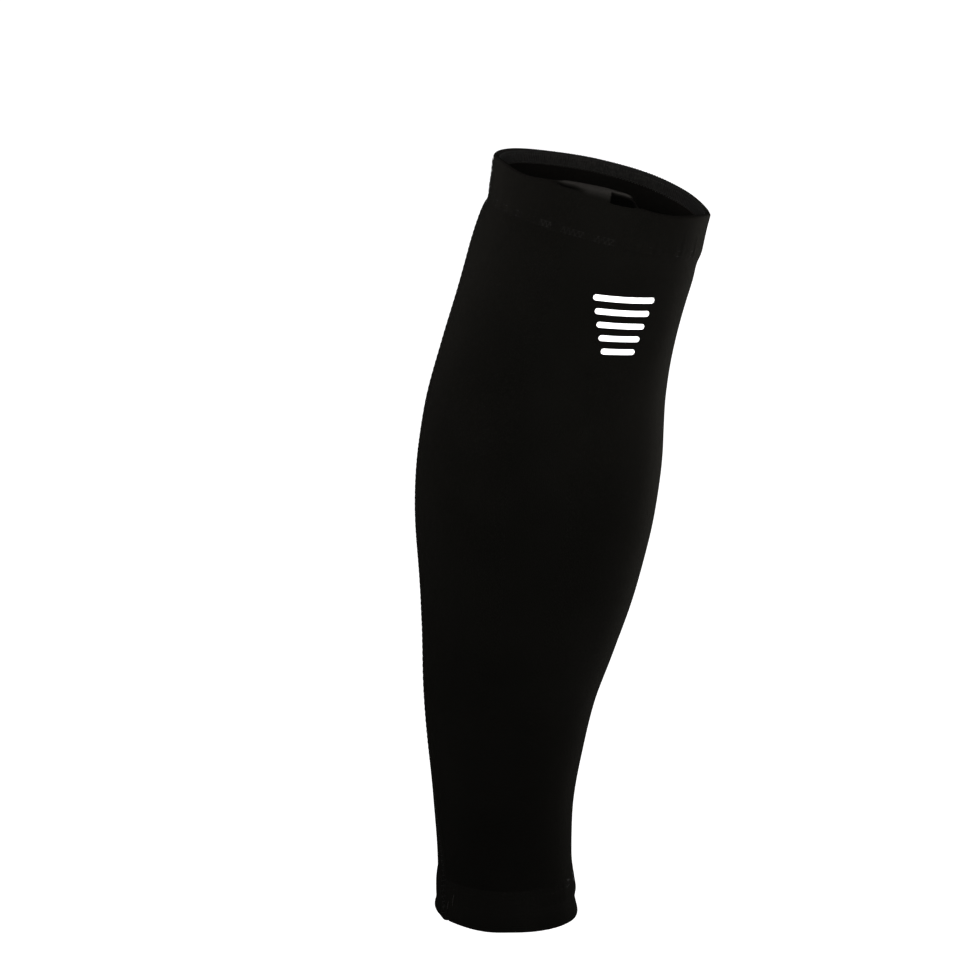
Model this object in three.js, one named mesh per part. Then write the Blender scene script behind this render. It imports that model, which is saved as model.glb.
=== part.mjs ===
// A knitted calf compression sleeve in its worn form. One panel wraps the leg and is closed by a flat
// seam down the side, both ends are hemmed double, a stitched band runs inside the knee rim, and a
// mark of five bars is printed on the upper front.
//
// Millimetres, +Z up. The origin is the middle of the leg at the fullest part of the calf. The shin
// faces -Y, the calf muscle +Y, and the leg leans towards +X at the knee.

import * as THREE from "three";

// Size of the sleeve along the leg
const SLEEVE_HEIGHT = 340.2; // middle of the knee rim to the middle of the ankle rim, straight down
const LEAN = 44.2; // sideways reach of the leg's middle line, from knee to ankle
const CALF_DOWN = 0.369; // share of the height at which the calf is fullest

// Widths of the leg, and its depths in front of and behind its widest line
const KNEE_WIDTH = 99.6;
const KNEE_SHIN = 41;
const KNEE_BACK = 67;
const CALF_WIDTH = 110;
const CALF_SHIN = 43;
const CALF_BACK = 76;
const ANKLE_WIDTH = 62;
const ANKLE_SHIN = 30.5;
const ANKLE_BACK = 40;

// Cloth
const WALL = 1.4; // one layer of the knit
const CLEARANCE = 0.3; // gap between pieces that meet
const KNEE_HEM_HEIGHT = 19;
const ANKLE_HEM_HEIGHT = 19;
const HEM_RELIEF = 2.5; // deepest swell or pinch that a hem gives the outline

// Rims
const FOLD_RISE = 5.8; // highest place of the fold that stands up on the front of the knee rim
const RIM_LIFT = 1.6; // highest place of an uneven rim above an even one

// Band inside the knee rim
const BAND_DROP = 1.6; // below the rim
const BAND_HEIGHT = 5.6;
const BAND_THICKNESS = 0.6;

// Flat side seam
const SEAM_WIDTH = 5;
const SEAM_RAISE = 0.3; // proud of the cloth, outside and inside

// Printed mark
const PRINT_BARS = 5;
const PRINT_WIDTH = 30; // longest bar, the top one
const PRINT_TAPER = 3.4; // each bar is this much shorter than the one above
const PRINT_BAR_HEIGHT = 2.6;
const PRINT_PITCH = 6;
const PRINT_FILM = 0.3; // thickness
const PRINT_DROP = 52; // middle of the mark, below the knee rim
const PRINT_BEARING = 26; // degrees round the leg from its front, towards +X
const PRINT_TURN = 6.5; // degrees, against the lean of the leg, so that the bars lie nearly level

// Fineness of the meshes
const PANEL_COLUMNS = 48;
const PANEL_STEP = 14; // along the leg
const HEM_COLUMNS = 54;
const BAR_COLUMN = 3.5; // along a bar

// The leg's form. down: share of the sleeve's height. shift: sideways place of the middle line, as a
// share of LEAN. side, shin, back: share of the way from the knee's size, or below the calf from the
// ankle's, to the calf's.
const LEG_SECTIONS = [
  { down: 0.0, shift: 0.612, side: 0.0, shin: 0.0, back: 0.0 },
  { down: 0.08, shift: 0.453, side: 0.0, shin: 0.15, back: 0.16 },
  { down: 0.16, shift: 0.286, side: -0.03, shin: 0.4, back: 0.44 },
  { down: 0.24, shift: 0.142, side: 0.29, shin: 0.7, back: 0.76 },
  { down: 0.31, shift: 0.044, side: 0.78, shin: 0.9, back: 0.95 },
  { down: CALF_DOWN, shift: 0.0, side: 1.0, shin: 1.0, back: 1.0 },
  { down: 0.44, shift: -0.058, side: 0.955, shin: 0.96, back: 0.95 },
  { down: 0.52, shift: -0.124, side: 0.792, shin: 0.85, back: 0.79 },
  { down: 0.6, shift: -0.2, side: 0.587, shin: 0.69, back: 0.57 },
  { down: 0.68, shift: -0.303, side: 0.373, shin: 0.5, back: 0.35 },
  { down: 0.76, shift: -0.352, side: 0.205, shin: 0.31, back: 0.17 },
  { down: 0.84, shift: -0.367, side: 0.057, shin: 0.14, back: 0.05 },
  { down: 0.92, shift: -0.353, side: 0.0, shin: 0.03, back: 0.0 },
  { down: 1.0, shift: -0.362, side: 0.0, shin: 0.0, back: 0.0 },
];

// How the hems pinch and swell the cloth. along: distance from the rim, as a share of the hem's height.
// seam and far: how far the surface stands out on the seam's side and on the other, as shares of
// HEM_RELIEF.
const KNEE_RELIEF = [
  { along: 0.0, seam: 0.0, far: 0.0 },
  { along: 0.35, seam: -0.42, far: 0.0 },
  { along: 0.65, seam: -0.65, far: 0.08 },
  { along: 0.82, seam: -0.85, far: 0.15 },
  { along: 1.0, seam: -0.92, far: 0.12 },
  { along: 1.18, seam: -0.5, far: -0.12 },
  { along: 1.6, seam: -0.16, far: 0.0 },
  { along: 2.1, seam: 0.0, far: 0.0 },
];
const ANKLE_RELIEF = [
  { along: 0.0, seam: 0.5, far: 1.5 },
  { along: 0.2, seam: 0.16, far: 1.08 },
  { along: 0.38, seam: 0.2, far: 0.8 },
  { along: 0.58, seam: 0.26, far: 0.98 },
  { along: 0.78, seam: 0.24, far: 0.72 },
  { along: 1.0, seam: 0.0, far: 0.4 },
  { along: 1.3, seam: 0.0, far: 0.1 },
  { along: 1.7, seam: 0.0, far: 0.0 },
];

// Course of the rims. turn: degrees round the leg from its front, towards +X. lift: how far the whole
// rim stands above an even one, as a share of RIM_LIFT. fold: how far the hem's inner layer stands
// above its outer one, as a share of FOLD_RISE.
const KNEE_RIM = [
  { turn: -180, lift: 0.2, fold: 0.0 },
  { turn: -150, lift: -0.25, fold: 0.0 },
  { turn: -120, lift: 0.05, fold: 0.0 },
  { turn: -98, lift: 0.5, fold: 0.0 },
  { turn: -70, lift: 1.0, fold: 0.0 },
  { turn: -50, lift: 0.5, fold: 0.0 },
  { turn: -38, lift: 0.62, fold: 0.03 },
  { turn: -31, lift: 0.88, fold: 0.12 },
  { turn: -24, lift: 0.8, fold: 0.36 },
  { turn: -17, lift: 0.76, fold: 0.54 },
  { turn: -9, lift: 0.58, fold: 0.72 },
  { turn: -2, lift: 0.12, fold: 0.9 },
  { turn: 4, lift: -0.5, fold: 1.0 },
  { turn: 12, lift: -0.53, fold: 0.95 },
  { turn: 18, lift: -0.3, fold: 0.55 },
  { turn: 23, lift: -0.4, fold: 0.0 },
  { turn: 30, lift: -0.68, fold: 0.0 },
  { turn: 45, lift: -0.5, fold: 0.0 },
  { turn: 62, lift: 0.15, fold: 0.0 },
  { turn: 80, lift: 0.0, fold: 0.0 },
  { turn: 100, lift: -0.2, fold: 0.0 },
  { turn: 125, lift: 0.25, fold: 0.0 },
  { turn: 150, lift: 0.55, fold: 0.0 },
  { turn: 180, lift: 0.2, fold: 0.0 },
];
const ANKLE_RIM = [
  { turn: -180, lift: 0.0, fold: 0.0 },
  { turn: -90, lift: 0.15, fold: 0.0 },
  { turn: -44, lift: 0.1, fold: 0.0 },
  { turn: -13, lift: -0.25, fold: 0.0 },
  { turn: 12, lift: -0.1, fold: 0.0 },
  { turn: 40, lift: -0.22, fold: 0.0 },
  { turn: 58, lift: -0.5, fold: 0.0 },
  { turn: 75, lift: -0.72, fold: 0.0 },
  { turn: 110, lift: -0.45, fold: 0.0 },
  { turn: 180, lift: 0.0, fold: 0.0 },
];

// Where the side seam runs, in degrees round the leg from its side towards the shin
const SEAM_COURSE = [
  { down: 0.0, bearing: 2 },
  { down: 0.35, bearing: 4 },
  { down: 0.75, bearing: 12 },
  { down: 1.0, bearing: 30 },
];

// Rows of a hem between its fold and its stitched edge, and rows of the panel close to a hem, both as
// shares of the hem's height from the rim
const HEM_ROWS = [0.2, 0.4, 0.6, 0.8, 1.0];
const ROWS_BY_HEM = [1.18, 1.4, 1.7];

// A smooth curve through one column or several of a table
function smooth(rows, key, columns) {
  const at = Float32Array.from(rows, (row) => row[key]);
  const values = Float32Array.from(rows.flatMap((row) => columns(row)));
  const width = values.length / rows.length;
  const curve = new THREE.CubicInterpolant(at, values, width, new Float32Array(width));
  return (place) => Array.from(curve.evaluate(place));
}

function towardsCalf(down, share, knee, ankle, calf) {
  const end = down <= CALF_DOWN ? knee : ankle;
  return end + share * (calf - end);
}

const legSizes = smooth(LEG_SECTIONS, "down", ({ down, shift, side, shin, back }) => [
  shift * LEAN,
  towardsCalf(down, side, KNEE_WIDTH / 2, ANKLE_WIDTH / 2, CALF_WIDTH / 2),
  towardsCalf(down, shin, KNEE_SHIN, ANKLE_SHIN, CALF_SHIN),
  towardsCalf(down, back, KNEE_BACK, ANKLE_BACK, CALF_BACK),
]);
const kneeRelief = smooth(KNEE_RELIEF, "along", (row) => [row.seam * HEM_RELIEF, row.far * HEM_RELIEF]);
const ankleRelief = smooth(ANKLE_RELIEF, "along", (row) => [row.seam * HEM_RELIEF, row.far * HEM_RELIEF]);
const kneeRim = smooth(KNEE_RIM, "turn", (row) => [row.lift * RIM_LIFT, row.fold * FOLD_RISE]);
const ankleRim = smooth(ANKLE_RIM, "turn", (row) => [row.lift * RIM_LIFT, row.fold * FOLD_RISE]);
const seamBearing = smooth(SEAM_COURSE, "down", (row) => [row.bearing]);

// Angle of the leg's middle line from upright, towards +X
function leanAt(down) {
  const step = 0.01;
  const above = Math.max(down - step, 0);
  const below = Math.min(down + step, 1);
  const sideways = legSizes(above)[0] - legSizes(below)[0];
  return Math.atan2(sideways, (below - above) * SLEEVE_HEIGHT);
}

// Shares of the height that lie a given length from each rim, along the cloth
const KNEE_LEAN = leanAt(0);
const fromKnee = (length) => (length * Math.cos(KNEE_LEAN)) / SLEEVE_HEIGHT;
const fromAnkle = (length) => 1 - length / SLEEVE_HEIGHT;

// How far the hems push the surface out. cosine: 1 on the side away from the seam, -1 on the seam's.
function hemRelief(down, cosine) {
  const knee = kneeRelief(down / fromKnee(KNEE_HEM_HEIGHT));
  const ankle = ankleRelief((1 - down) / (1 - fromAnkle(ANKLE_HEM_HEIGHT)));
  const farShare = (1 + cosine) / 2;
  const seamSide = knee[0] + ankle[0];
  const farSide = knee[1] + ankle[1];
  return seamSide + farShare * (farSide - seamSide);
}

// Point of the sleeve. down: share of the height. angle: round the leg, 0 towards +X and a quarter
// turn at the back. out: distance from the cloth's outer face. rise: distance towards the knee.
function onSleeve(down, angle, out, rise = 0) {
  const [shift, side, shin, back] = legSizes(down);
  const depth = Math.sin(angle) < 0 ? shin : back;
  const lean = leanAt(down);
  const normal = new THREE.Vector2(Math.cos(angle) / side, Math.sin(angle) / depth).normalize();
  const reach = out + hemRelief(down, Math.cos(angle));
  const across = side * Math.cos(angle) + normal.x * reach;
  const through = depth * Math.sin(angle) + normal.y * reach;
  return new THREE.Vector3(
    shift + across * Math.cos(lean) + rise * Math.sin(lean),
    through,
    (CALF_DOWN - down) * SLEEVE_HEIGHT - across * Math.sin(lean) + rise * Math.cos(lean),
  );
}

// Angle that lies a given length round the leg from another
function walk(down, angle, length) {
  const steps = 6;
  const [, side, shin, back] = legSizes(down);
  let place = angle;
  for (let step = 0; step < steps; step += 1) {
    const depth = Math.sin(place) < 0 ? shin : back;
    place += length / steps / Math.hypot(side * Math.sin(place), depth * Math.cos(place));
  }
  return place;
}

const seamAngle = (down) => Math.PI + THREE.MathUtils.degToRad(seamBearing(down)[0]);

// Closed body through a row of outlines that have the same number of points. A ring's last outline
// meets its first. Otherwise that number is even, and each end is closed from side to side.
function loft(outlines, isRing) {
  const points = outlines[0].length;
  const spans = isRing ? outlines.length : outlines.length - 1;
  const faces = [];
  for (let span = 0; span < spans; span += 1) {
    const here = span * points;
    const next = ((span + 1) % outlines.length) * points;
    for (let i = 0; i < points; i += 1) {
      const j = (i + 1) % points;
      faces.push([here + i, here + j, next + j], [here + i, next + j, next + i]);
    }
  }
  if (!isRing) {
    const last = (outlines.length - 1) * points;
    for (let i = 0; i < points / 2 - 1; i += 1) {
      const k = points - 1 - i;
      faces.push([i, k, k - 1], [i, k - 1, i + 1]);
      faces.push([last + i, last + k - 1, last + k], [last + i, last + i + 1, last + k - 1]);
    }
  }
  const corners = outlines.flat();
  const volume = faces.reduce((sum, [a, b, c]) => {
    const normal = new THREE.Vector3().crossVectors(corners[b], corners[c]);
    return sum + corners[a].dot(normal);
  }, 0);
  const outward = volume > 0 ? faces : faces.map(([a, b, c]) => [a, c, b]);
  const geometry = new THREE.BufferGeometry().setFromPoints(corners);
  geometry.setIndex(outward.flat());
  geometry.computeVertexNormals();
  return geometry;
}

// Stations down the panel, between the hems, closer together where the hems shape the cloth
function panelStations() {
  const top = fromKnee(KNEE_HEM_HEIGHT + CLEARANCE);
  const bottom = fromAnkle(ANKLE_HEM_HEIGHT + CLEARANCE);
  const nearKnee = ROWS_BY_HEM.map((share) => fromKnee(share * KNEE_HEM_HEIGHT));
  const nearAnkle = ROWS_BY_HEM.map((share) => fromAnkle(share * ANKLE_HEM_HEIGHT)).reverse();
  const first = nearKnee.at(-1);
  const span = nearAnkle[0] - first;
  const steps = Math.max(4, Math.round((span * SLEEVE_HEIGHT) / PANEL_STEP));
  const between = Array.from({ length: steps - 1 }, (_, i) => first + (span * (i + 1)) / steps);
  return [top, ...nearKnee, ...between, ...nearAnkle, bottom];
}

// The panel that wraps the leg, open along the seam
function calfTube() {
  const edge = SEAM_WIDTH / 2 + CLEARANCE;
  const outlines = panelStations().map((down) => {
    const start = walk(down, seamAngle(down), edge);
    const end = walk(down, seamAngle(down), -edge) + 2 * Math.PI;
    const angles = Array.from(
      { length: PANEL_COLUMNS + 1 },
      (_, column) => start + ((end - start) * column) / PANEL_COLUMNS,
    );
    const outside = angles.map((angle) => onSleeve(down, angle, 0));
    const inside = angles.map((angle) => onSleeve(down, angle, -WALL)).reverse();
    return [...outside, ...inside];
  });
  return loft(outlines, false);
}

// The strip that joins the panel's edges, a little proud of both faces
function sideSeam() {
  const half = SEAM_WIDTH / 2;
  const profile = [
    { along: -half, out: -WALL },
    { along: -half, out: SEAM_RAISE / 2 },
    { along: 0, out: SEAM_RAISE },
    { along: half, out: SEAM_RAISE / 2 },
    { along: half, out: -WALL },
    { along: 0, out: -WALL - SEAM_RAISE },
  ];
  const outlines = panelStations().map((down) =>
    profile.map(({ along, out }) => onSleeve(down, walk(down, seamAngle(down), along), out)),
  );
  return loft(outlines, false);
}

// Degrees round the leg from its front, towards +X
function turnFromFront(angle) {
  const front = -Math.PI / 2;
  return THREE.MathUtils.radToDeg(Math.atan2(Math.sin(angle - front), Math.cos(angle - front)));
}

// A hem: cloth folded double, round at the rim and flat at its stitched edge. rimAt gives the rim's lift
// and its fold. The lift fades towards the stitched edge, and the fold raises only the inner layer's rim.
function hem(height, toDown, rimAt) {
  const arc = [0, 45, 90, 135, 180].map((degrees) => THREE.MathUtils.degToRad(degrees));
  const rim = arc.map((turn) => ({
    along: WALL * (1 - Math.sin(turn)),
    out: -WALL * (1 - Math.cos(turn)),
  }));
  const inside = HEM_ROWS.map((share) => ({ along: share * height, out: -2 * WALL }));
  const outside = HEM_ROWS.toReversed().map((share) => ({ along: share * height, out: 0 }));
  const profile = [...rim, ...inside, ...outside];
  const outlines = Array.from({ length: HEM_COLUMNS }, (_, column) => {
    const angle = (2 * Math.PI * column) / HEM_COLUMNS;
    const [lift, fold] = rimAt(turnFromFront(angle));
    return profile.map(({ along, out }) => {
      const innerShare = along <= WALL ? -out / (2 * WALL) : 0;
      const rise = lift * (1 - along / height) + Math.max(fold, 0) * innerShare;
      return onSleeve(toDown(along), angle, out, rise);
    });
  });
  return loft(outlines, true);
}

// The stitched band inside the knee hem
function innerBand() {
  const outer = -2 * WALL - CLEARANCE;
  const inner = outer - BAND_THICKNESS;
  const foot = BAND_DROP + BAND_HEIGHT;
  const profile = [
    { along: BAND_DROP, out: outer },
    { along: BAND_DROP, out: inner },
    { along: foot, out: inner },
    { along: foot, out: outer },
  ];
  const outlines = Array.from({ length: HEM_COLUMNS }, (_, column) => {
    const angle = (2 * Math.PI * column) / HEM_COLUMNS;
    return profile.map(({ along, out }) => onSleeve(fromKnee(along), angle, out));
  });
  return loft(outlines, true);
}

// One bar of the printed mark, round at both ends, lying on the panel
function printBar(index) {
  const length = PRINT_WIDTH - index * PRINT_TAPER;
  const radius = PRINT_BAR_HEIGHT / 2;
  const straight = length / 2 - radius;
  const columns = Math.max(2, Math.round((2 * straight) / BAR_COLUMN));
  const middle = Array.from({ length: columns + 1 }, (_, i) => ({
    along: straight * ((2 * i) / columns - 1),
    half: radius,
  }));
  const end = [35, 70].map((degrees) => THREE.MathUtils.degToRad(degrees));
  const right = end.map((turn) => ({
    along: straight + radius * Math.sin(turn),
    half: radius * Math.cos(turn),
  }));
  const left = right.map(({ along, half }) => ({ along: -along, half })).reverse();
  const turn = THREE.MathUtils.degToRad(PRINT_TURN);
  const bearing = THREE.MathUtils.degToRad(PRINT_BEARING - 90);
  const outlines = [...left, ...middle, ...right].map(({ along, half }) => {
    const place = (edge, out) => {
      const across = edge + (index - (PRINT_BARS - 1) / 2) * PRINT_PITCH;
      const down = fromKnee(PRINT_DROP + across * Math.cos(turn) - along * Math.sin(turn));
      const sideways = along * Math.cos(turn) + across * Math.sin(turn);
      return onSleeve(down, walk(down, bearing, sideways), out);
    };
    const film = [CLEARANCE, CLEARANCE + PRINT_FILM];
    return [place(-half, film[0]), place(-half, film[1]), place(half, film[1]), place(half, film[0])];
  });
  return loft(outlines, false);
}

const knit = { color: 0x12110f, roughness: 0.85, metalness: 0 };
const stitched = { color: 0x1c1a18, roughness: 0.8, metalness: 0 };
const film = { color: 0xf4f4f2, roughness: 0.55, metalness: 0 };

function piece(name, geometry, finish) {
  const mesh = new THREE.Mesh(geometry, new THREE.MeshStandardMaterial(finish));
  mesh.name = name;
  return mesh;
}

const sleeve = new THREE.Group();
sleeve.name = "calf_sleeve";
sleeve.add(
  piece("calf_tube", calfTube(), knit),
  piece("side_seam", sideSeam(), stitched),
  piece("knee_hem", hem(KNEE_HEM_HEIGHT, fromKnee, kneeRim), knit),
  piece("ankle_hem", hem(ANKLE_HEM_HEIGHT, fromAnkle, ankleRim), knit),
  piece("inner_band", innerBand(), stitched),
);

const print = new THREE.Group();
for (let index = 0; index < PRINT_BARS; index += 1) {
  print.add(piece(`print_bar_${index + 1}`, printBar(index), film));
}
sleeve.add(print);

export default sleeve;
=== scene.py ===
# %% [markdown]
# # A knitted calf sleeve
# This lesson dresses a calf compression sleeve. The sleeve is one panel of fine elastic knit wrapped
# round the leg, closed by a flat seam down the side and hemmed at both ends. It stands in its worn
# form, so every piece follows the same leg. The measured solids are loaded first. They fix where each
# piece sits, and each cloth piece made here takes the place of one of them.

# %% Load the measured frame
import math
from collections import namedtuple

import bpy
import numpy as np
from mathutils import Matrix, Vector


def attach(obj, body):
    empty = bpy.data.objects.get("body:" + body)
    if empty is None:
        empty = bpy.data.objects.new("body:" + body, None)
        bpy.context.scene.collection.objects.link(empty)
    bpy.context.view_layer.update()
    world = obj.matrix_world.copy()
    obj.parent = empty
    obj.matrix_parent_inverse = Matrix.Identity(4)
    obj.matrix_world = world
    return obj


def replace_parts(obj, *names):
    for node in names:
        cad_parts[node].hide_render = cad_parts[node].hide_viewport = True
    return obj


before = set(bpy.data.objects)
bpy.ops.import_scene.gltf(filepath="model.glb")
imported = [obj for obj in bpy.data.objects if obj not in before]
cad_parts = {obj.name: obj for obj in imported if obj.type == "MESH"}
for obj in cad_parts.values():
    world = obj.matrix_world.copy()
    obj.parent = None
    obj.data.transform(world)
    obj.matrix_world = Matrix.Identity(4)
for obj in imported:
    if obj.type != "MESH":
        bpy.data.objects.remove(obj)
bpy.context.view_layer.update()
print("solids:", ", ".join(sorted(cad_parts)))

# %% [markdown]
# ## Sizes of the sleeve
# A tailor describes a sleeve by a few girths and lengths, and so does this cell. The leg's sections
# hold shares of those sizes, so that a wider calf widens every section near it. All lengths are in
# metres, written as millimetres times MM.

# %% Driving sizes
MM = 0.001
SLEEVE_HEIGHT = 340.2 * MM
LEAN = 44.2 * MM
CALF_DOWN = 0.369

KNEE = {"side": 49.8 * MM, "shin": 41 * MM, "back": 67 * MM}
CALF = {"side": 55 * MM, "shin": 43 * MM, "back": 76 * MM}
ANKLE = {"side": 31 * MM, "shin": 30.5 * MM, "back": 40 * MM}

WALL = 1.4 * MM
HEM_HEIGHT = 19 * MM
HEM_RELIEF = 2.5 * MM
SEAM_WIDTH = 5 * MM
SEAM_RAISE = 0.3 * MM

print(f"sleeve {SLEEVE_HEIGHT / MM:.0f} mm tall, calf {2 * CALF['side'] / MM:.0f} mm wide")


# %% Sections of the leg, from the knee down
def table(kind, *rows):
    """Rows whose columns have names."""
    return [kind(*row) for row in rows]


Section = namedtuple("Section", "down shift side shin back")
SECTIONS = table(
    Section,
    (0, 0.612, 0, 0, 0),
    (0.08, 0.453, 0, 0.15, 0.16),
    (0.16, 0.286, -0.03, 0.4, 0.44),
    (0.24, 0.142, 0.34, 0.7, 0.76),
    (0.31, 0.044, 0.82, 0.9, 0.95),
    (CALF_DOWN, 0, 1, 1, 1),
    (0.44, -0.058, 0.955, 0.96, 0.95),
    (0.52, -0.119, 0.792, 0.85, 0.79),
    (0.6, -0.207, 0.587, 0.69, 0.57),
    (0.68, -0.3, 0.383, 0.5, 0.35),
    (0.76, -0.344, 0.215, 0.31, 0.17),
    (0.84, -0.369, 0.063, 0.14, 0.05),
    (0.92, -0.353, 0, 0.03, 0),
    (1, -0.362, 0, 0, 0),
)

# %% [markdown]
# ## How the hems shape the cloth
# A hem is stitched with less stretch than the knit around it, so it pinches the leg's outline on one
# side and swells on the other. Each row says how far the surface stands out on the seam's side and on
# the far side, as shares of HEM_RELIEF, at a distance from the rim given as a share of the hem.

# %% Relief of the hems, and the course of the seam
Relief = namedtuple("Relief", "along seam far")
KNEE_RELIEF = table(
    Relief,
    (0, 0, 0), (0.35, -0.42, 0), (0.65, -0.65, 0.08), (0.82, -0.85, 0.15),
    (1, -0.92, 0.12), (1.18, -0.5, -0.12), (1.6, -0.16, 0), (2.1, 0, 0),
)
ANKLE_RELIEF = table(
    Relief,
    (0, 0.5, 1.5), (0.2, 0.16, 1.08), (0.38, 0.2, 0.8), (0.58, 0.26, 0.98),
    (0.78, 0.24, 0.72), (1, 0, 0.4), (1.3, 0, 0.1), (1.7, 0, 0),
)
Course = namedtuple("Course", "down bearing")
SEAM_COURSE = table(Course, (0, 2), (0.35, 4), (0.75, 12), (1, 30))

# %% [markdown]
# ## A smooth curve through a table
# Straight lines between the rows would leave creases round the leg. A cubic curve whose slope at each
# row is the mean of the slopes on both sides of it has none, and it doesn't overshoot much.


# %% Cubic curve through rows
def smooth(places, values):
    """A function that is smooth through the values at the places, and level beyond them."""
    places, values = np.asarray(places, float), np.asarray(values, float)
    chords = np.diff(values) / np.diff(places)
    slopes = np.concatenate([chords[:1], (chords[:-1] + chords[1:]) / 2, chords[-1:]])

    def curve(place):
        place = np.clip(place, places[0], places[-1])
        right = np.clip(np.searchsorted(places, place, side="right"), 1, len(places) - 1)
        left = right - 1
        span = places[right] - places[left]
        t = (place - places[left]) / span
        from_left = (1 + 2 * t) * (1 - t) ** 2 * values[left] + t * (1 - t) ** 2 * span * slopes[left]
        from_right = t**2 * (3 - 2 * t) * values[right] + t**2 * (t - 1) * span * slopes[right]
        return from_left + from_right

    return curve


def curve_through(rows, place, value, size=1):
    """The smooth curve through two columns of a table, the second one times a size."""
    places, values = ([getattr(row, name) for row in rows] for name in (place, value))
    return smooth(places, [value * size for value in values])


def leg_size(name):
    """Half width or depth of the leg down its length."""

    def size(row):
        end = KNEE[name] if row.down <= CALF_DOWN else ANKLE[name]
        return end + getattr(row, name) * (CALF[name] - end)

    return smooth([row.down for row in SECTIONS], [size(row) for row in SECTIONS])


side_at, shin_at, back_at = leg_size("side"), leg_size("shin"), leg_size("back")
middle_at = curve_through(SECTIONS, "down", "shift", LEAN)
bearing_at = curve_through(SEAM_COURSE, "down", "bearing")
print(f"ankle half width {side_at(1.0) / MM:.1f} mm, calf {side_at(CALF_DOWN) / MM:.1f} mm")

# %% [markdown]
# ## Any point of the sleeve
# Every stitch and fold is placed by how far down the leg it lies and at what angle round it, as on a
# bent cylinder. One function turns those into a point in space. The cloth, the threads and the print
# all call it, so they can't drift apart.


# %% Places on the leaning leg
def lean_at(down):
    """Angle of the leg's middle line from upright, towards +X."""
    step = 0.01
    above, below = np.maximum(down - step, 0), np.minimum(down + step, 1)
    return np.arctan2(middle_at(above) - middle_at(below), (below - above) * SLEEVE_HEIGHT)


KNEE_SLOPE = math.cos(float(lean_at(0.0)))


def from_knee(length):
    """Share of the height that lies a length below the knee rim, along the cloth."""
    return length * KNEE_SLOPE / SLEEVE_HEIGHT


def from_ankle(length):
    """Share of the height that lies a length above the ankle rim."""
    return 1 - length / SLEEVE_HEIGHT


# %% Relief that the hems and the soft cloth add
def side_reliefs(rows):
    return [curve_through(rows, "along", side, HEM_RELIEF) for side in ("seam", "far")]


knee_seam_relief, knee_far_relief = side_reliefs(KNEE_RELIEF)
ankle_seam_relief, ankle_far_relief = side_reliefs(ANKLE_RELIEF)


def hem_relief(down, cosine):
    knee, ankle = down / from_knee(HEM_HEIGHT), (1 - down) * SLEEVE_HEIGHT / HEM_HEIGHT
    seam_side = knee_seam_relief(knee) + ankle_seam_relief(ankle)
    far_side = knee_far_relief(knee) + ankle_far_relief(ankle)
    return seam_side + (1 + cosine) / 2 * (far_side - seam_side)


Swell = namedtuple("Swell", "down angle height length width")
SOFT_SWELLS = table(
    Swell,
    (0.105, -48, -0.9 * MM, 0.035, 26),
    (0.15, -25, 0.5 * MM, 0.04, 24),
    (0.2, -120, -0.4 * MM, 0.06, 30),
    (0.9, -70, -0.4 * MM, 0.03, 40),
    (0.86, 80, 0.4 * MM, 0.03, 45),
    (0.1, 100, -0.5 * MM, 0.03, 40),
)
Ripple = namedtuple("Ripple", "turns waves phase height")
RIPPLES = table(
    Ripple,
    (2, 7, 0.4, 0.1 * MM),
    (3, -11, 2.1, 0.08 * MM),
    (5, 16, 4.4, 0.05 * MM),
    (1, 23, 5.2, 0.05 * MM),
)


def soft_relief(down, angle):
    """Shallow dents and ripples of the knit itself."""
    total = np.zeros(np.broadcast(down, angle).shape)
    for swell in SOFT_SWELLS:
        turn = np.degrees(angle) - swell.angle
        turn = (turn + 180) % 360 - 180
        away = ((down - swell.down) / swell.length) ** 2 + (turn / swell.width) ** 2
        total += swell.height * np.exp(-away)
    for ripple in RIPPLES:
        wave = ripple.turns * angle + 2 * np.pi * ripple.waves * down / 3
        total += ripple.height * np.sin(wave + ripple.phase)
    return total


# %% A point of the sleeve
def on_sleeve(down, angle, out=0.0, rise=0.0):
    """Point at a share of the height and an angle, a distance outside the cloth's outer face."""
    down, angle, out, rise = np.broadcast_arrays(down, angle, out, rise)
    side, depth = side_at(down), np.where(np.sin(angle) < 0, shin_at(down), back_at(down))
    cosine, sine, lean = np.cos(angle), np.sin(angle), lean_at(down)
    steep = np.hypot(cosine / side, sine / depth)
    reach = out + hem_relief(down, cosine) + soft_relief(down, angle)
    across = side * cosine + cosine / side / steep * reach
    through = depth * sine + sine / depth / steep * reach
    x = middle_at(down) + across * np.cos(lean) + rise * np.sin(lean)
    z = (CALF_DOWN - down) * SLEEVE_HEIGHT - across * np.sin(lean) + rise * np.cos(lean)
    return np.stack([x, through, z], axis=-1)


def walk(down, angle, length, steps=8):
    """Angle that lies a length round the leg from another."""
    for _ in range(steps):
        depth = np.where(np.sin(angle) < 0, shin_at(down), back_at(down))
        angle = angle + length / steps / np.hypot(side_at(down) * np.sin(angle), depth * np.cos(angle))
    return angle


def seam_angle(down):
    return np.pi + np.radians(bearing_at(down))


print("knee rim, far side:", np.round(on_sleeve(0.0, 0.0) / MM, 1))

# %% [markdown]
# ## Cloth as a closed sheet
# Knit has thickness, so every cloth piece here is a closed skin round a thin wall. Its points form a
# grid: one way round the leg and one way round the wall. The grid also gives each stitch of the knit
# its place, because wales, the upright columns of stitches, keep their number from knee to ankle.

# %% Grids of points made into pieces
WALES = 432
COURSE = 0.56 * MM


def grid_quads(rows, columns, rows_close=True):
    """Quads of a grid, and for each of their corners its row and column, counted past the last one."""
    bands = np.arange(rows if rows_close else rows - 1)
    row, column = np.meshgrid(bands, np.arange(columns), indexing="ij")
    row, column = row.ravel()[:, None], column.ravel()[:, None]
    corner_rows = row + np.array([0, 1, 1, 0])
    corner_columns = column + np.array([0, 0, 1, 1])
    return corner_rows % rows * columns + corner_columns % columns, corner_rows, corner_columns


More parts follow.
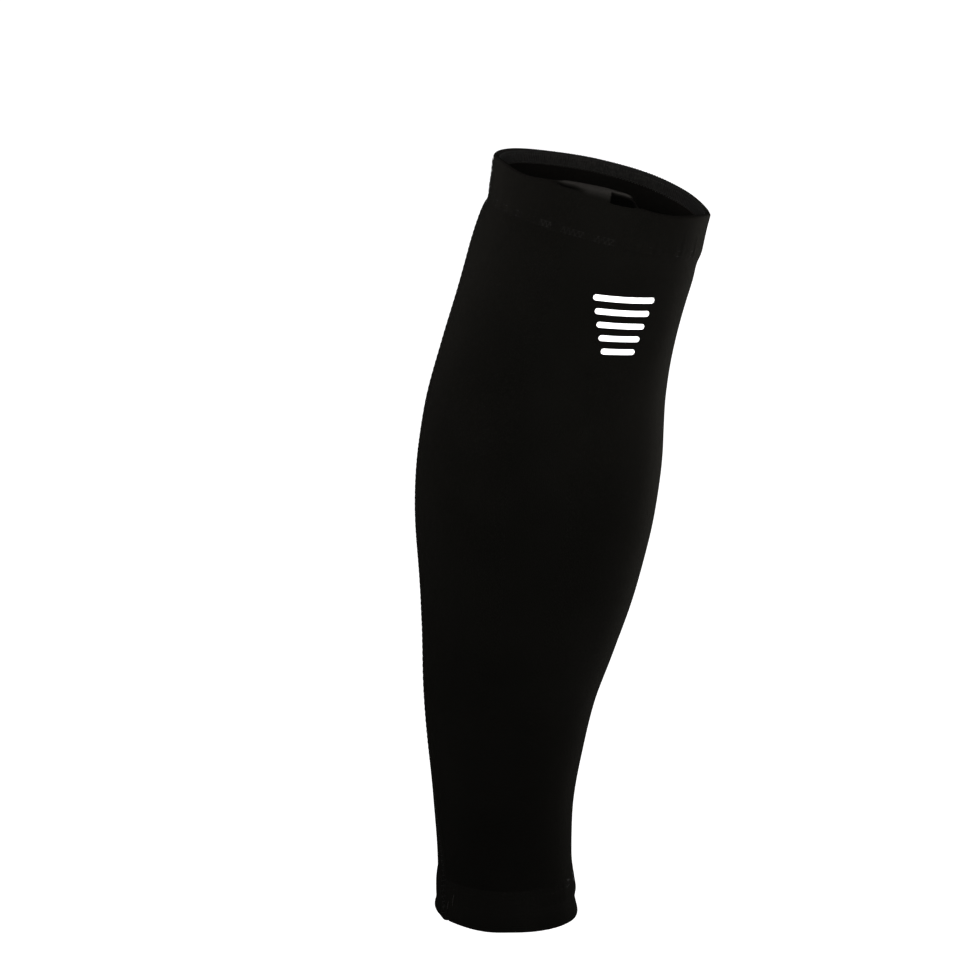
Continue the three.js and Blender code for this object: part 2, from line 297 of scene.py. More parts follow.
def put(name, data):
    """A new object in the scene."""
    thing = bpy.data.objects.new(name, data)
    bpy.context.scene.collection.objects.link(thing)
    return thing


def make_piece(name, points, quads, uv, material, caps=()):
    """A shaded piece that faces outwards, with a knit map of places in wales and courses."""
    points = points.reshape(-1, 3)
    a, b, c, d = (points[quads[:, i]] for i in range(4))
    volume = np.sum(a * np.cross(b, c)) + np.sum(a * np.cross(c, d))
    if volume < 0:
        quads, uv = quads[:, ::-1], uv[:, ::-1]
    caps = [list(cap)[::-1] if volume < 0 else list(cap) for cap in caps]
    mesh = bpy.data.meshes.new(name)
    mesh.from_pydata(points.tolist(), [], quads.tolist() + caps)
    layer = mesh.uv_layers.new(name="knit")
    flat = np.zeros((len(mesh.loops), 2), np.float32)
    flat[: uv.size // 2] = uv.reshape(-1, 2)
    layer.data.foreach_set("uv", flat.ravel())
    mesh.polygons.foreach_set("use_smooth", np.ones(len(mesh.polygons), bool))
    mesh.materials.append(material)
    piece = put(name, mesh)
    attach(piece, "root")
    mesh.calc_loop_triangles()
    print(f"{name}: {len(mesh.loop_triangles)} triangles")
    return piece


def ring_cloth(name, points, courses, wales, material):
    """Cloth round the leg. points: rows round the wall by columns round the leg."""
    rows, columns = points.shape[:2]
    quads, corner_rows, corner_columns = grid_quads(rows, columns)
    places = np.append(courses, courses[0])
    uv = np.stack([corner_columns * wales / columns, places[corner_rows]], axis=-1)
    return make_piece(name, points, quads, uv, material)


def end_caps(start, rows, columns):
    """The two faces that close the ends of a tube made of a grid."""
    last = start + (rows - 1) * columns
    return [range(start, start + columns), range(last + columns - 1, last - 1, -1)]


def column(rows, name):
    """One column of a table, as an upright array."""
    return np.array([getattr(row, name) for row in rows])[:, None]


def carry(piece, name, shares):
    """Give a piece a number at each of its points, which its finish can read by this name."""
    piece.data.attributes.new(name, "FLOAT", "POINT").data.foreach_set("value", shares.ravel())


def full_turn(columns):
    return np.arange(columns) * 2 * np.pi / columns


# %% [markdown]
# ## Shader sums that read as plain Python
# Node trees get long, and a sum made of twenty nodes hides what it says. The small class below wraps a
# socket, so that adding or multiplying two of them makes the node behind the scenes.


# %% Sockets as numbers
def operator(operation, is_reflected=False):
    """A method that makes a Math node of a socket and what stands beside it."""

    def method(self, *others):
        values = (*others, self) if is_reflected else (self, *others)
        return self.node("ShaderNodeMath", {"operation": operation}, dict(enumerate(values)))

    return method


class Value:
    """An output socket of a node tree that takes part in sums."""

    def __init__(self, tree, socket=None):
        self.tree, self.socket = tree, socket

    def node(self, kind, settings=None, inputs=None, output=0):
        """Any node, from its type, its settings and its inputs' values or links."""
        made = self.tree.nodes.new(kind)
        for name, value in (settings or {}).items():
            setattr(made, name, value)
        for name, value in (inputs or {}).items():
            if isinstance(value, Value):
                self.tree.links.new(value.socket, made.inputs[name])
            else:
                made.inputs[name].default_value = value
        return Value(self.tree, made.outputs[output])

    __add__ = __radd__ = operator("ADD")
    __mul__ = __rmul__ = operator("MULTIPLY")
    __sub__, __rsub__ = operator("SUBTRACT"), operator("SUBTRACT", is_reflected=True)
    __pow__ = operator("POWER")
    sine, fraction, size = operator("SINE"), operator("FRACT"), operator("ABSOLUTE")

    def share(self, name):
        """The number that a piece carries under this name at each of its points."""
        return self.node("ShaderNodeAttribute", {"attribute_name": name}, output="Fac")

    def ramp(self, low, high):
        """0 below low, 1 above high and smooth between them."""
        settings = {"interpolation_type": "SMOOTHSTEP"}
        return self.node("ShaderNodeMapRange", settings, {0: self, 1: low, 2: high})

    def mix(self, first, second):
        """A colour between two others, by this share."""
        settings = {"data_type": "RGBA"}
        return self.node("ShaderNodeMix", settings, {0: self, 6: first, 7: second}, output=2)


def finish_of(name, surface):
    """A material from a function that takes a tree and returns its surface's settings and inputs."""
    material = bpy.data.materials.new(name)
    material.use_nodes = True
    tree = material.node_tree
    tree.nodes.clear()
    shader = Value(tree).node("ShaderNodeBsdfPrincipled", {}, surface(Value(tree)))
    tree.links.new(shader.socket, tree.nodes.new("ShaderNodeOutputMaterial").inputs[0])
    return material


def places(tree):
    """Wales and courses of the point being shaded."""
    uv = tree.node("ShaderNodeUVMap", {"uv_map": "knit"})
    wale = tree.node("ShaderNodeSeparateXYZ", {}, {0: uv}, output=0)
    course = tree.node("ShaderNodeSeparateXYZ", {}, {0: uv}, output=1)
    return wale, course


def noise(tree, scale, detail=2.0, roughness=0.5):
    """Noise in the object's own space. scale: features to a metre."""
    at = tree.node("ShaderNodeTexCoord", output="Object")
    inputs = {"Vector": at, "Scale": scale, "Detail": detail, "Roughness": roughness}
    return tree.node("ShaderNodeTexNoise", {}, inputs)


def bump(height, distance):
    return height.node("ShaderNodeBump", {}, {"Height": height, "Distance": distance, "Strength": 1.0})


# %% [markdown]
# ## The knit
# Plain jersey shows columns of small Vs. Each leg of a V is a yarn that climbs away from the middle of
# its wale, so the height of the cloth is a wave along the leg whose phase shifts with the distance
# from that middle. The yarn is dull black nylon with a soft bloom of fibre at grazing angles, and the
# dye comes out a touch warm. A cloth may carry a number called pale at each of its points, which is
# painted light and shade: at 1 the knit is painted paler as painted light, and at -1 it is painted
# darker as painted shade.

# %% Black jersey
BLACK_YARN = (0.0011, 0.00107, 0.00092, 1)
WORN_YARN = (0.0022, 0.0021, 0.0018, 1)
# The last two colours are painted shade and painted light.
PAINTED_SHADE_YARN = (0.0003, 0.0003, 0.00026, 1)
PAINTED_LIGHT_YARN = (0.0074, 0.007, 0.0064, 1)


def jersey_height(tree):
    wale, course = places(tree)
    aside = ((wale.fraction() - 0.5) * 2).size()
    loop = ((course + aside * 0.7).fraction() * math.pi).sine()
    gap = 1 - aside**3
    return loop**0.7 * (gap * 0.65 + 0.35)


def jersey(tree):
    height = jersey_height(tree)
    patch = noise(tree, 22, 3.0)
    fibre = noise(tree, 2600, 3.0, 0.6)
    tone = patch.ramp(0.3, 0.72) * 0.35 + height * 0.4 + fibre * 0.25
    # pale mixes in painted shade below 0 and painted light above 0.
    pale = tree.share("pale")
    shaded = (pale * -1).mix(tone.mix(BLACK_YARN, WORN_YARN), PAINTED_SHADE_YARN)
    return {
        "Base Color": pale.mix(shaded, PAINTED_LIGHT_YARN),
        "Roughness": patch * 0.1 + 0.74,
        "Specular IOR Level": 0.0,
        "Sheen Weight": 0.004,
        "Sheen Roughness": 0.5,
        "Sheen Tint": (1.0, 0.94, 0.87, 1),
        "Normal": bump(height + fibre * 0.5, 0.09 * MM),
    }


knit = finish_of("black_jersey", jersey)
print("finish:", knit.name)

# %% [markdown]
# ## Thread, band and print
# Sewing thread is two plies twisted together, which shows as a slanting ridge. It is black where it
# lies sheltered, worn on the front of the knee, and charcoal in the band and the tack stitches. The
# band inside the rim is a ribbed elastic, a shade lighter than the jersey, with a number that says
# where it is painted darker as painted shade. The mark is a film pressed on while hot, and it lies
# flat enough to keep only a trace of the knit's grain.

# %% Their finishes
TWISTS_TO_LENGTH = 1.1


def thread_finish(name, valley, ridge):
    """Twisted thread, from its colours between the plies and on them."""

    def surface(tree):
        around, along = places(tree)
        twist = ((around + along * TWISTS_TO_LENGTH) * 2 * math.pi).sine() * 0.5 + 0.5
        fibre = noise(tree, 5200, 2.0)
        return {
            "Base Color": twist.mix(valley, ridge),
            "Roughness": fibre * 0.2 + 0.55,
            "Specular IOR Level": 0.02,
            "Sheen Weight": 0.004,
            "Normal": bump(twist + fibre * 0.3, 0.04 * MM),
        }

    return finish_of(name, surface)


def band_surface(tree):
    wale, course = places(tree)
    height = ((course * 2 + (wale.fraction() - 0.5).size()).fraction() * math.pi).sine()
    fibre = noise(tree, 3000, 3.0)
    speck = noise(tree, 900, 2.0).ramp(0.42, 0.62)
    tone = height * 0.3 + fibre * 0.2 + speck * 0.5
    rib = tone.mix((0.0012, 0.0012, 0.0011, 1), (0.0058, 0.0056, 0.005, 1))
    return {
        # The band is painted darker here, as painted shade.
        "Base Color": tree.share("band_painted_shade").mix(rib, PAINTED_SHADE_YARN),
        "Roughness": fibre * 0.1 + 0.78,
        "Specular IOR Level": 0.02,
        "Sheen Weight": 0.008,
        "Normal": bump(height + fibre * 0.4, 0.07 * MM),
    }


def print_surface(tree):
    grain = jersey_height(tree)
    speck = noise(tree, 900, 2.0)
    return {
        "Base Color": speck.mix((0.88, 0.88, 0.87, 1), (0.93, 0.93, 0.92, 1)),
        "Roughness": speck * 0.15 + 0.42,
        "Specular IOR Level": 0.35,
        "Normal": bump(grain * 0.5 + speck * 0.2, 0.015 * MM),
    }


thread = thread_finish("black_thread", (0.0014, 0.0014, 0.0012, 1), (0.004, 0.0038, 0.0034, 1))
worn_thread = thread_finish("worn_thread", (0.0022, 0.0021, 0.0019, 1), (0.0058, 0.0055, 0.005, 1))
pale_thread = thread_finish("charcoal_thread", (0.004, 0.0038, 0.0034, 1), (0.011, 0.0105, 0.0095, 1))
ribbing = finish_of("charcoal_rib", band_surface)
film = finish_of("white_film", print_surface)
print("finishes:", thread.name, worn_thread.name, pale_thread.name, ribbing.name, film.name)

# %% [markdown]
# ## The panel
# The main piece is one panel of jersey. It is cut narrower than the leg and stretches round it, which
# is what gives the squeeze. Its walls follow the leg from hem to hem, and its edges butt together
# under the side seam.

# %% Calf panel
STRETCH = 1.2
EDGE_GAP = 0.03 * MM
PANEL_TOP = float(from_knee(HEM_HEIGHT + EDGE_GAP))
PANEL_BOTTOM = float(from_ankle(HEM_HEIGHT + EDGE_GAP))
PANEL_COLUMNS = 176
OUTSIDE_ROWS, INSIDE_ROWS = 216, 72


def girth_at(down):
    ring = on_sleeve(down, full_turn(360))
    return float(np.linalg.norm(np.roll(ring, -1, axis=0) - ring, axis=1).sum())


outside = np.linspace(PANEL_TOP, PANEL_BOTTOM, OUTSIDE_ROWS)
inside = np.linspace(PANEL_BOTTOM, PANEL_TOP, INSIDE_ROWS)
down = np.concatenate([outside, inside])[:, None]
out = np.repeat([0.0, -WALL], [OUTSIDE_ROWS, INSIDE_ROWS])[:, None]
panel_points = on_sleeve(down, full_turn(PANEL_COLUMNS)[None], out)
panel_courses = down[:, 0] * SLEEVE_HEIGHT / COURSE
panel = ring_cloth("calf_panel", panel_points, panel_courses, WALES, knit)
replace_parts(panel, "calf_tube")
panel_flat = (girth_at(CALF_DOWN) / STRETCH, (PANEL_BOTTOM - PANEL_TOP) * SLEEVE_HEIGHT)

# %% [markdown]
# ## Uneven rims
# A worn rim isn't level. It sags on one side and creeps up on the other, and on the front of the knee
# the hem's inner layer has come loose and stands up behind the outer one. Each course gives a height
# every few degrees round the leg, counted from its front towards +X: for a rim, how far it strays
# from a level one, as a share of RIM_SWAY, and for the fold, how far it stands up, as a share of
# FOLD_RISE.

# %% Courses of the rims and of the fold
RIM_SWAY = 2 * MM
FOLD_RISE = 5.2 * MM

Height = namedtuple("Height", "turn share")
KNEE_RIM = table(
    Height,
    (-180, 0.25), (-150, -0.2), (-120, 0.05), (-98, 0.4), (-70, 0.8),
    (-50, 0.25), (-40, 0.35), (-30, 0.6), (-22, 0.4), (-16, 0.4),
    (-9, 0.2), (0, 0.2), (4, -0.05), (20, 0), (26, -0.25),
    (38, -0.35), (62, 0.22), (80, 0.05), (100, -0.15), (125, 0.32),
    (150, 0.57), (180, 0.25),
)
KNEE_FOLD = table(
    Height,
    (-44, 0), (-36, 0.1), (-29, 0.24), (-22, 0.58), (-16, 0.71),
    (-9, 0.88), (0, 0.95), (4, 1), (12, 0.88), (14.5, 0.65),
    (17, 0.15), (18, 0),
)
ANKLE_RIM = table(
    Height,
    (-180, 0), (-90, 0), (-62, -0.3), (-44, -0.25), (-13, -0.47),
    (5, -0.28), (25, -0.38), (40, -0.52), (58, -0.75), (76, -1.05),
    (95, -0.8), (125, -0.3), (180, 0),
)


def front_turn(angle):
    """Degrees from the front of the leg, towards +X."""
    return (np.degrees(angle) + 90 + 180) % 360 - 180


def height_round(rows, size):
    """A function that gives the height at an angle round the leg."""
    curve = curve_through(rows, "turn", "share", size)
    return lambda angle: curve(front_turn(angle))


knee_sway, ankle_sway = height_round(KNEE_RIM, RIM_SWAY), height_round(ANKLE_RIM, RIM_SWAY)
knee_fold = height_round(KNEE_FOLD, FOLD_RISE)
print(f"fold {knee_fold(math.radians(-90)) / MM:.1f} mm high at the front")

# %% [markdown]
# ## The rolled fold
# The loose layer changes its shape along the rim. It starts as part of a rim that is only taller, then
# a crease opens under it, then it rolls out over the outer layer as a full lip. The lip ends at once,
# and past it a thin edge leans over a deep gap. Each table walks over the rim, from its outer shoulder
# to its inner one: how far out a point lies and how high, in millimetres, what share of the fold's
# height it rides on, and how pale it is painted. Over the roll the yarn is painted paler as painted
# light on its upward-facing top, and in the crease and the gap it is painted darker as painted shade,
# so its number there is below 0.

# %% Shapes of the rim
RimPoint = namedtuple("RimPoint", "out up rise pale")
# The pale column is painted light above 0 and painted shade below 0.
TALL_RIM = table(
    RimPoint,
    (0, -1.4, 0, 0), (0, -1.2, 0.2, 0), (0, -1, 0.4, 0),
    (-0.03, -0.8, 0.6, 0), (-0.12, -0.6, 0.78, 0), (-0.3, -0.38, 0.9, 0),
    (-0.6, -0.17, 0.97, 0), (-1, -0.05, 1, 0), (-1.4, 0, 1, 0),
    (-1.8, -0.05, 1, 0), (-2.2, -0.17, 0.97, 0), (-2.5, -0.38, 0.9, 0),
    (-2.7, -0.65, 0.7, 0), (-2.78, -1, 0.35, 0), (-2.8, -1.4, 0, 0),
)
LIP_RIM = table(
    RimPoint,
    (0, -1.4, 0, 0), (-0.03, -1, 0, 0), (-0.12, -0.65, 0, 0),
    (-0.2, -0.35, 0.05, 0), (-0.22, -0.1, 0.15, 0.1), (-0.3, 0, 0.3, 0.3),
    (-0.45, 0, 0.45, 0.5), (-0.7, 0, 0.6, 0.8), (-1.05, 0, 0.75, 1),
    (-1.5, 0, 0.88, 1), (-1.95, 0, 0.97, 1), (-2.35, 0, 1, 0.6),
    (-2.7, -0.1, 0.85, 0), (-2.85, -0.4, 0.4, 0), (-2.8, -1.4, 0, 0),
)
CREASE_RIM = table(
    RimPoint,
    (0, -1.4, 0, 0), (-0.05, -0.9, 0, 0), (-0.15, -0.5, 0.08, 0),
    (-0.35, -0.2, 0.15, 0), (-0.7, -0.3, 0.18, -0.5), (-1.15, -0.8, 0.2, -1),
    (-1.4, -0.5, 0.35, -0.8), (-1.25, -0.1, 0.5, 0), (-1.1, 0, 0.68, 0.6),
    (-1.15, 0, 0.86, 0.9), (-1.55, 0, 0.98, 0.8), (-2.15, 0, 1, 0.3),
    (-2.65, -0.2, 0.8, 0), (-2.85, -0.6, 0.35, 0), (-2.8, -1.4, 0, 0),
)
GAP_RIM = table(
    RimPoint,
    (0, -1.4, 0, 0), (-0.06, -1, 0, 0), (-0.2, -0.62, 0, 0),
    (-0.5, -0.4, 0, 0), (-0.85, -0.45, 0, -0.3), (-1.2, -1, 0, -0.8),
    (-1.6, -2.2, 0, -1), (-2.1, -2.3, 0, -1), (-2.6, -1.2, 0.05, -1),
    (-4.0, -0.5, 0.25, -1), (-4.6, 0, 0.5, -1), (-3.2, 0, 0.74, 0.2),
    (-1.9, 0, 0.82, 1), (-1.95, 0, 0.97, 1), (-3.0, 0, 1, 0.6),
    (-4.8, 0, 0.8, 0), (-5.2, -0.2, 0.45, 0), (-4.2, -0.8, 0.15, 0),
    (-2.8, -1.4, 0, 0),
)


# Each change runs from one turn to another, in degrees from the front.
CREASE_OPENS, CREASE_CLOSES = (-30, -22), (15, 17.5)
LIP_OPENS, LIP_ENDS = (-20, -9), (1.6, 3.0)
# Between these turns the thin edge over the gap goes from painted light to painted shade.
TIP_SHADE_TURNS = (11.5, 14.5)
# The rows behind the outer layer start between these shares of the way over the rim.
BEHIND_OUTER = (0.15, 0.25)
CREASE_FOLD = 0.8 * MM


def step_between(value, low, high):
    share = np.clip((value - low) / (high - low), 0, 1)
    return share * share * (3 - 2 * share)


def span_share(turn, opens, closes):
    """1 within a span round the leg, 0 outside it, and smooth where it opens and closes."""
    return step_between(turn, *opens) * (1 - step_between(turn, *closes))


def rim_profile(angle, samples, fold):
    """Distance out, height and painted light and shade of the rim's points, (samples, angles)."""
    place, turn = np.linspace(0, 1, samples)[:, None], front_turn(angle)
    lip = span_share(turn, LIP_OPENS, LIP_ENDS)
    crease = span_share(turn, CREASE_OPENS, CREASE_CLOSES) * step_between(fold, 0.0, CREASE_FOLD)
    parted = np.where(turn < LIP_ENDS[0], crease * (1 - lip), 0)
    gaping = crease * (1 - lip) - parted
    shares = [(TALL_RIM, 1 - crease), (CREASE_RIM, parted), (LIP_RIM, crease * lip), (GAP_RIM, gaping)]

    def blend(name):
        total = 0
        for rows, share in shares:
            curve = smooth(np.linspace(0, 1, len(rows)), [getattr(row, name) for row in rows])
            total = total + curve(place) * share
        return total

    pale = np.clip(blend("pale"), -1, 1)
    # Past the lip's end, the thin edge over the gap is painted black as painted shade.
    tip_shade = gaping * step_between(turn, *TIP_SHADE_TURNS) * step_between(place, *BEHIND_OUTER)
    pale = pale * (1 - tip_shade) - tip_shade
    return blend("out") * MM, blend("up") * MM + blend("rise") * fold, pale


print(f"crease from {CREASE_OPENS[0]} to {CREASE_CLOSES[1]} degrees, lip to {LIP_ENDS[1]}")

# %% [markdown]
# ## The hems
# Two rows of needles set 4 mm apart stitch each hem down. Every stitch draws the cloth in a little, so
# a hem has a line of small dimples, a soft ridge between its rows and faint gathers that run up
# towards the rim. The cloth is one sheet that runs up the outside, over the rim and down the inside,
# and its two layers lie against each other.


# %% Pull of the needles
def bell(value, middle, width):
    """1 in the middle, and nearly 0 two widths away from it."""
    return np.exp(-(((value - middle) / width) ** 2))


NEEDLE_ROWS = (15.8 * MM, 18.2 * MM)
STITCH = 2.35 * MM
DIMPLE, DIMPLE_REACH = 0.06 * MM, 0.62 * MM
RIDGE, RIDGE_REACH = 0.05 * MM, 1.3 * MM
GATHER, GATHER_REACH = 0.055 * MM, 6.5 * MM
PUCKER_ENDS = 18.55 * MM


def stitches_round(down):
    return int(round(girth_at(down) / STITCH))


KNEE_STITCHES = stitches_round(0.03)
ANKLE_STITCHES = stitches_round(0.97)


def pucker(along, angle, stitches, seed):
    """How far the needles' pull moves the hem's surface, at a distance along from the rim."""
    pull = 0
    for row, place in enumerate(NEEDLE_ROWS):
        beat = 0.5 + 0.5 * np.cos(stitches * angle + row * np.pi)
        pull = pull - DIMPLE * (0.45 + 0.55 * beat) * bell(along, place, DIMPLE_REACH)
    middle = sum(NEEDLE_ROWS) / 2
    ridge = RIDGE * bell(along, middle, RIDGE_REACH)
    gathers = (
        np.sin(stitches / 3 * angle + 5 * np.sin(2 * angle + seed))
        + np.sin(stitches / 5 * angle + 3 * np.sin(3 * angle + 2 * seed))
        + 0.6 * np.sin(stitches * 0.61 * angle + 4 * np.sin(angle + 3 * seed))
    )
    fade = 1 - step_between(along, PUCKER_ENDS, HEM_HEIGHT)
    return (pull + ridge + GATHER * gathers * bell(along, middle, GATHER_REACH)) * fade


# %% The seam's foot and the edges painted lighter
SEAM_HANGS, HANG_WIDTH = -0.7 * MM, 2.2 * MM
SEAM_NICK, NICK_ASIDE, NICK_WIDTH = 0.8 * MM, 3.2 * MM, 0.6 * MM
NOTCH_REACH = 2 * MM


def seam_notch(along, angle):
    """How far the seam's hard end pulls the ankle rim out of its line."""
    seam = np.pi + math.radians(SEAM_COURSE[-1].bearing)
    aside = ((angle - seam + np.pi) % (2 * np.pi) - np.pi) * ANKLE["side"]
    bends = SEAM_HANGS * bell(aside, 0, HANG_WIDTH) + SEAM_NICK * bell(aside, NICK_ASIDE, NICK_WIDTH)
    return bends * bell(along, 0, NOTCH_REACH)


# How much painted light the ankle hem's face gets.
CUFF_PAINTED_LIGHT = 0.12
# How much painted light the knee rim's edge gets round the back.
BACK_RIM_PAINTED_LIGHT = 0.6


def cuff_painted_light(angle):
    """The ankle hem's face is painted paler as painted light, apart from the side where it lies in its
    own shade.
    """
    return CUFF_PAINTED_LIGHT * (1 - step_between(front_turn(angle), 15, 55))


def back_rim_painted_light(angle):
    """Round the back the knee rim's edge is painted paler too, as painted light."""
    return BACK_RIM_PAINTED_LIGHT * step_between(np.abs(front_turn(angle)), 85, 105)


# %% Hem cloth
HEM_COLUMNS = 600
FACE_ROWS, RIM_ROWS, BACK_ROWS, SLIT_ROWS = 34, 37, 24, 5
SLIT_ENDS = 3.4 * MM
HALF_SLIT = 0.05 * MM
HEM_ANGLES = full_turn(HEM_COLUMNS)[None]


def hem_cloth(name, to_down, stitches, sway, fold, seed):
    """One sheet up the outside, over the rim and down the inside, with a slit between its layers."""
    angle = HEM_ANGLES
    face = np.linspace(HEM_HEIGHT, WALL, FACE_ROWS)[:-1, None]
    back = np.linspace(WALL, HEM_HEIGHT, BACK_ROWS)[1:, None]
    slit = np.linspace(HEM_HEIGHT, SLIT_ENDS, SLIT_ROWS)[:, None]
    rim_out, rim_up, rim_painted_light = rim_profile(angle, RIM_ROWS, fold)
    dimples = pucker(face, angle, stitches, seed)
    inner = -2 * WALL - 0.6 * pucker(back, angle, stitches, seed)
    level = np.zeros_like(angle)
    along = np.concatenate([face + level, -rim_up, back + level, slit + level, slit[::-1] + level])
    flat = slit * level - WALL
    out = np.concatenate([dimples, rim_out, inner, flat - HALF_SLIT, flat + HALF_SLIT])
    rise = np.maximum(-along, 0) + sway(angle) * np.clip(1 - along / HEM_HEIGHT, 0, 1)
    if to_down is from_ankle:
        rise = rise + seam_notch(along, angle)
    points = on_sleeve(to_down(np.maximum(along, 0)), angle, out, rise)
    profile = np.concatenate([face, -rim_up[:, :1], back, slit, slit[::-1]])[:, 0]
    steps = np.abs(np.diff(profile))
    steps[len(face) : len(face) + RIM_ROWS - 1] = np.pi * WALL / (RIM_ROWS - 1)
    courses = np.concatenate([[0], np.cumsum(steps)]) / COURSE
    cloth = ring_cloth(name, points, courses, WALES, knit)
    # pale holds painted light and shade: the ankle hem's face and the knee rim get them here.
    pale = np.zeros(points.shape[:2])
    if to_down is from_ankle:
        pale[: len(face) + RIM_ROWS // 2] = cuff_painted_light(angle)
    else:
        pale[len(face) : len(face) + RIM_ROWS] = rim_painted_light + back_rim_painted_light(angle)
    carry(cloth, "pale", pale)
    return cloth


fold = knee_fold(HEM_ANGLES)
knee_cloth = hem_cloth("knee_hem_cloth", from_knee, KNEE_STITCHES, knee_sway, fold, 1.3)
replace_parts(knee_cloth, "knee_hem")
ankle_cloth = hem_cloth("ankle_hem_cloth", from_ankle, ANKLE_STITCHES, ankle_sway, 0 * fold, 4.1)
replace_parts(ankle_cloth, "ankle_hem")
SHARP_EDGE = math.radians(62)
for cloth in (panel, knee_cloth, ankle_cloth):
    cloth.data.set_sharp_from_angle(angle=SHARP_EDGE)

# %% [markdown]
# ## Threads
# A stitch is a short length of thread that dives into the cloth at both ends. Each row of stitches is
# one path swept with a round section, and a whole row of separate ones is made at once from an array.

# %% Thread sweeper
THREAD = 0.11 * MM
SIDES = 6


def unit(vectors):
    return vectors / np.linalg.norm(vectors, axis=-1, keepdims=True)


def sweep(paths, outwards, radius, is_closed):
    """Tubes along paths (paths, points, 3). outwards: directions away from the cloth."""
    if is_closed:
        ahead = np.roll(paths, -1, axis=1) - np.roll(paths, 1, axis=1)
    else:
        ahead = np.gradient(paths, axis=1)
    ahead = unit(ahead)
    side = unit(np.cross(ahead, outwards))
    up = np.cross(side, ahead)
    turn = (np.arange(SIDES) * 2 * np.pi / SIDES)[:, None]
    spokes = np.cos(turn) * up[:, :, None] + np.sin(turn) * side[:, :, None]
    return paths[:, :, None] + radius * spokes


def thread_piece(name, runs, finish=thread):
    """One piece from runs of stitches: their paths, outward directions, radius and is_closed."""
    points, quads, uvs, caps, first = [], [], [], [], 0
    for paths, outwards, radius, is_closed in runs:
        count, length = paths.shape[:2]
        tube = sweep(paths, outwards, radius, is_closed)
        quad, corner_rows, corner_columns = grid_quads(length, SIDES, rows_close=is_closed)
        step = np.linalg.norm(np.diff(paths, axis=1), axis=-1).mean() / (8 * radius)
        starts = first + np.arange(count) * length * SIDES
        quads.append((starts[:, None, None] + quad).reshape(-1, 4))
        uv = np.stack([corner_columns / SIDES, corner_rows * step], axis=-1)
        uvs.append(np.tile(uv, (count, 1, 1)))
        if not is_closed:
            for start in starts:
                caps += end_caps(start, length, SIDES)
        points.append(tube.reshape(-1, 3))
        first += count * length * SIDES
    points, quads, uvs = (np.concatenate(parts) for parts in (points, quads, uvs))
    return make_piece(name, points, quads, uvs, finish, caps)


def on_cloth(down, angle, out):
    """Points on the sleeve, and the directions away from it there."""
    here = on_sleeve(down, angle, out)
    return here, unit(on_sleeve(down, angle, out + MM) - here)


def dive(t):
    """0 at whole numbers, where the thread goes through the cloth, and 1 halfway between them."""
    return np.abs(np.sin(np.pi * t)) ** 0.6


def swing(t):
    """Place between two rows of holes: 0 at even numbers and 1 at odd ones."""
    return 2 * np.abs(t / 2 - np.round(t / 2))


def stitch_arch(samples, low, high):
    """Height over the cloth along one stitch that dives in at both ends."""
    return low + (high - low) * dive(np.linspace(0, 1, samples))


# %% Stitches of the hems
ZIGZAG_POINTS, STITCH_POINTS = 8, 7
ZIGZAG_HIGH, ZIGZAG_SINK = 0.12 * MM, 0.25 * MM
ROW_HIGH, ROW_SINK = 0.03 * MM, 0.2 * MM
ROW_FILL = 0.86
INSIDE = -2 * WALL


def zigzag(to_down, stitches, shows=None, inward=1, base=0.0):
    """A thread that crosses between the needle rows. shows: how much of it stands out at an angle."""
    near, far = NEEDLE_ROWS
    t = np.arange(2 * stitches * ZIGZAG_POINTS) / ZIGZAG_POINTS
    angle = np.pi * t / stitches
    share = shows(angle) if shows else 1.0
    out = base + inward * (-ZIGZAG_SINK + (ZIGZAG_HIGH + ZIGZAG_SINK) * share * dive(t))
    here, away = on_cloth(to_down(near + (far - near) * swing(t)), angle, out)
    return here[None], away[None] * inward, THREAD, True


def needle_row(to_down, stitches, along, phase, shows):
    """Short stitches in a line round the leg."""
    t = np.linspace(-ROW_FILL / 2, ROW_FILL / 2, STITCH_POINTS)
    angle = (np.arange(stitches)[:, None] + phase + t) * (2 * np.pi / stitches)
    out = -ROW_SINK + (ROW_HIGH + ROW_SINK) * shows(angle) * stitch_arch(STITCH_POINTS, 0.0, 1.0)
    return *on_cloth(to_down(along + 0 * angle), angle, out), THREAD, False


# %% Where the stitches stand out
SUNK, SHOWN = 0.15, 0.8
SLACK_STARTS, SLACK_ENDS = (-52, -22), (6, 13)


def knee_shows(angle):
    """The stitches ride on the slack front of the hem and sink in where it is stretched."""
    slack = span_share(front_turn(angle), SLACK_STARTS, SLACK_ENDS)
    patches = 0.82 + 0.18 * np.sin(31 * angle + 2 * np.sin(9 * angle))
    return SUNK + (SHOWN - SUNK) * slack * patches


def ankle_shows(angle):
    """At the ankle one or two stitches near the front show."""
    return SUNK + 0.3 * bell(front_turn(angle), 12, 3)


def hem_stitches(name, to_down, stitches, shows, finish):
    near, far = NEEDLE_ROWS
    runs = [
        zigzag(to_down, stitches, shows),
        needle_row(to_down, stitches, near, 0.0, shows),
        needle_row(to_down, stitches, far, 0.5, shows),
        zigzag(to_down, stitches, inward=-1, base=INSIDE),
    ]
    return thread_piece(name, runs, finish)


knee_stitching = hem_stitches("knee_hem_stitches", from_knee, KNEE_STITCHES, knee_shows, worn_thread)
ankle_stitching = hem_stitches("ankle_hem_stitches", from_ankle, ANKLE_STITCHES, ankle_shows, thread)

# %% [markdown]
# ## The band inside the knee
# A narrow ribbed elastic is stitched inside the rim so that it stays up. Its ribs run along the leg.
# A row of small stitches holds its upper edge, and a fine zigzag its lower one. On the side the knee
# leans to, the band is painted darker as painted shade.

